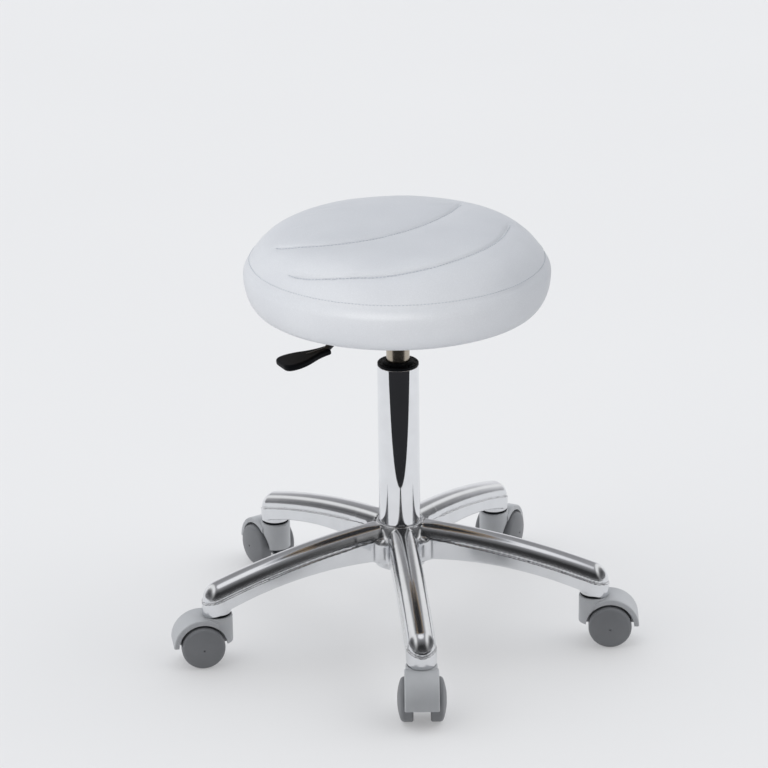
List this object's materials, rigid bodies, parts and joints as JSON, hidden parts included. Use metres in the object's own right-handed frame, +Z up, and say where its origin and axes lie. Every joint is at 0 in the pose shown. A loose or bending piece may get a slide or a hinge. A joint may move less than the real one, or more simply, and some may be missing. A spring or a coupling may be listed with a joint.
{
  "type": "dentist stool",
  "caption": "Round padded stool seat on a gas-lift chrome column, with a height lever and a polished five-star base on twin-wheel casters.",
  "frame": {"origin": "on the floor, on the column's axis", "axes": "+Z up along the column; -Y along one arm of the base; casters trail outwards"},
  "size_m": [0.5657, 0.5442, 0.512],
  "materials": {
    "polished_aluminium": "polished",
    "chrome": "mirror",
    "spring_steel": "drawn, faintly bronzed",
    "bright_steel": "turned and zinc plated",
    "black_steel": "satin black",
    "black_nylon": "fine moulded grain",
    "hood_grey": "fine moulded grain",
    "wheel_grey": "satin moulded",
    "bumper_rubber": "matt",
    "bronze_race": "turned",
    "plywood": "bare birch ply",
    "foam": "open-cell foam",
    "leatherette": "fine grain, satin"
  },
  "bodies": {
    "base": {"star_base": "polished_aluminium", "column_tube": "chrome", "guide_collar": "black_nylon", "column_foot": "bright_steel", "bearing_lower_race": "bright_steel", "caster_1_stem": "bright_steel", "caster_1_sleeve": "black_nylon", "caster_2_stem": "bright_steel", "caster_2_sleeve": "black_nylon", "caster_3_stem": "bright_steel", "caster_3_sleeve": "black_nylon", "caster_4_stem": "bright_steel", "caster_4_sleeve": "black_nylon", "caster_5_stem": "bright_steel", "caster_5_sleeve": "black_nylon"},
    "spindle": {"bearing_balls": "bright_steel", "bearing_upper_race": "bright_steel", "rod_bumper": "bumper_rubber", "piston_rod": "bright_steel", "rod_clip": "bright_steel", "piston": "bronze_race"},
    "seat": {"rod_guide": "black_nylon", "gas_cylinder": "spring_steel", "seat_socket": "black_steel", "seat_plate": "black_steel", "plate_screws": "bright_steel", "plate_washers": "bright_steel", "tee_nuts": "bright_steel", "lever_pin": "bright_steel", "seat_board": "plywood", "seat_foam": "foam", "cover_top_panel": "leatherette", "cover_side_band": "leatherette", "hem_staples": "bright_steel"},
    "lever": {"lever_rod": "black_steel", "lever_handle": "black_nylon"},
    "valve": {"valve_pin": "bright_steel"},
    "caster_1": {"caster_1_hood": "hood_grey", "caster_1_axle": "bright_steel"},
    "wheel_1_left": {"caster_1_wheel_left": "wheel_grey"},
    "wheel_1_right": {"caster_1_wheel_right": "wheel_grey"},
    "caster_2": {"caster_2_hood": "hood_grey", "caster_2_axle": "bright_steel"},
    "wheel_2_left": {"caster_2_wheel_left": "wheel_grey"},
    "wheel_2_right": {"caster_2_wheel_right": "wheel_grey"},
    "caster_3": {"caster_3_hood": "hood_grey", "caster_3_axle": "bright_steel"},
    "wheel_3_left": {"caster_3_wheel_left": "wheel_grey"},
    "wheel_3_right": {"caster_3_wheel_right": "wheel_grey"},
    "caster_4": {"caster_4_hood": "hood_grey", "caster_4_axle": "bright_steel"},
    "wheel_4_left": {"caster_4_wheel_left": "wheel_grey"},
    "wheel_4_right": {"caster_4_wheel_right": "wheel_grey"},
    "caster_5": {"caster_5_hood": "hood_grey", "caster_5_axle": "bright_steel"},
    "wheel_5_left": {"caster_5_wheel_left": "wheel_grey"},
    "wheel_5_right": {"caster_5_wheel_right": "wheel_grey"}
  },
  "joints": [
    {"name": "seat_swivel", "type": "hinge", "parent": "base", "child": "spindle", "pos_m": [0, 0, 0.1], "axis": [0, 0, 1], "continuous": true},
    {"name": "seat_lift", "type": "slide", "parent": "spindle", "child": "seat", "axis": [0, 0, 1], "range_m": [0, 0.13]},
    {"name": "lever_pull", "type": "hinge", "parent": "seat", "child": "lever", "pos_m": [-0.03523, -0.01423, 0.4125], "axis": [-0.3746, 0.9272, 0], "range_deg": [0, 5], "stiffness_Nm_per_rad": 2, "springref_deg": -8.59},
    {"name": "valve_press", "type": "slide", "parent": "seat", "child": "valve", "axis": [0, 0, 1], "range_m": [-0.0036, 0]},
    {"name": "caster_1_swivel", "type": "hinge", "parent": "base", "child": "caster_1", "pos_m": [0, -0.239, 0.06], "axis": [0, 0, 1], "continuous": true},
    {"name": "wheel_1_left_spin", "type": "hinge", "parent": "caster_1", "child": "wheel_1_left", "pos_m": [-0.00182, -0.25791, 0.026], "axis": [0.9954, -0.0958, 0], "continuous": true},
    {"name": "wheel_1_right_spin", "type": "hinge", "parent": "caster_1", "child": "wheel_1_right", "pos_m": [-0.00182, -0.25791, 0.026], "axis": [0.9954, -0.0958, 0], "continuous": true},
    {"name": "caster_2_swivel", "type": "hinge", "parent": "base", "child": "caster_2", "pos_m": [0.2273, -0.07386, 0.06], "axis": [0, 0, 1], "continuous": true},
    {"name": "wheel_2_left_spin", "type": "hinge", "parent": "caster_2", "child": "wheel_2_left", "pos_m": [0.24612, -0.0765, 0.026], "axis": [0.1392, 0.9903, 0], "continuous": true},
    {"name": "wheel_2_right_spin", "type": "hinge", "parent": "caster_2", "child": "wheel_2_right", "pos_m": [0.24612, -0.0765, 0.026], "axis": [0.1392, 0.9903, 0], "continuous": true},
    {"name": "caster_3_swivel", "type": "hinge", "parent": "base", "child": "caster_3", "pos_m": [0.14048, 0.19335, 0.06], "axis": [0, 0, 1], "continuous": true},
    {"name": "wheel_3_left_spin", "type": "hinge", "parent": "caster_3", "child": "wheel_3_left", "pos_m": [0.14998, 0.20981, 0.026], "axis": [-0.866, 0.5, 0], "continuous": true},
    {"name": "wheel_3_right_spin", "type": "hinge", "parent": "caster_3", "child": "wheel_3_right", "pos_m": [0.14998, 0.20981, 0.026], "axis": [-0.866, 0.5, 0], "continuous": true},
    {"name": "caster_4_swivel", "type": "hinge", "parent": "base", "child": "caster_4", "pos_m": [-0.14048, 0.19335, 0.06], "axis": [0, 0, 1], "continuous": true},
    {"name": "wheel_4_left_spin", "type": "hinge", "parent": "caster_4", "child": "wheel_4_left", "pos_m": [-0.1494, 0.21013, 0.026], "axis": [-0.8829, -0.4695, 0], "continuous": true},
    {"name": "wheel_4_right_spin", "type": "hinge", "parent": "caster_4", "child": "wheel_4_right", "pos_m": [-0.1494, 0.21013, 0.026], "axis": [-0.8829, -0.4695, 0], "continuous": true},
    {"name": "caster_5_swivel", "type": "hinge", "parent": "base", "child": "caster_5", "pos_m": [-0.2273, -0.07386, 0.06], "axis": [0, 0, 1], "continuous": true},
    {"name": "wheel_5_left_spin", "type": "hinge", "parent": "caster_5", "child": "wheel_5_left", "pos_m": [-0.24626, -0.07518, 0.026], "axis": [0.0698, -0.9976, 0], "continuous": true},
    {"name": "wheel_5_right_spin", "type": "hinge", "parent": "caster_5", "child": "wheel_5_right", "pos_m": [-0.24626, -0.07518, 0.026], "axis": [0.0698, -0.9976, 0], "continuous": true}
  ],
  "couplings": [
    {"joint": "valve_press", "follows": "lever_pull", "m_per_rad": -0.038}
  ]
}
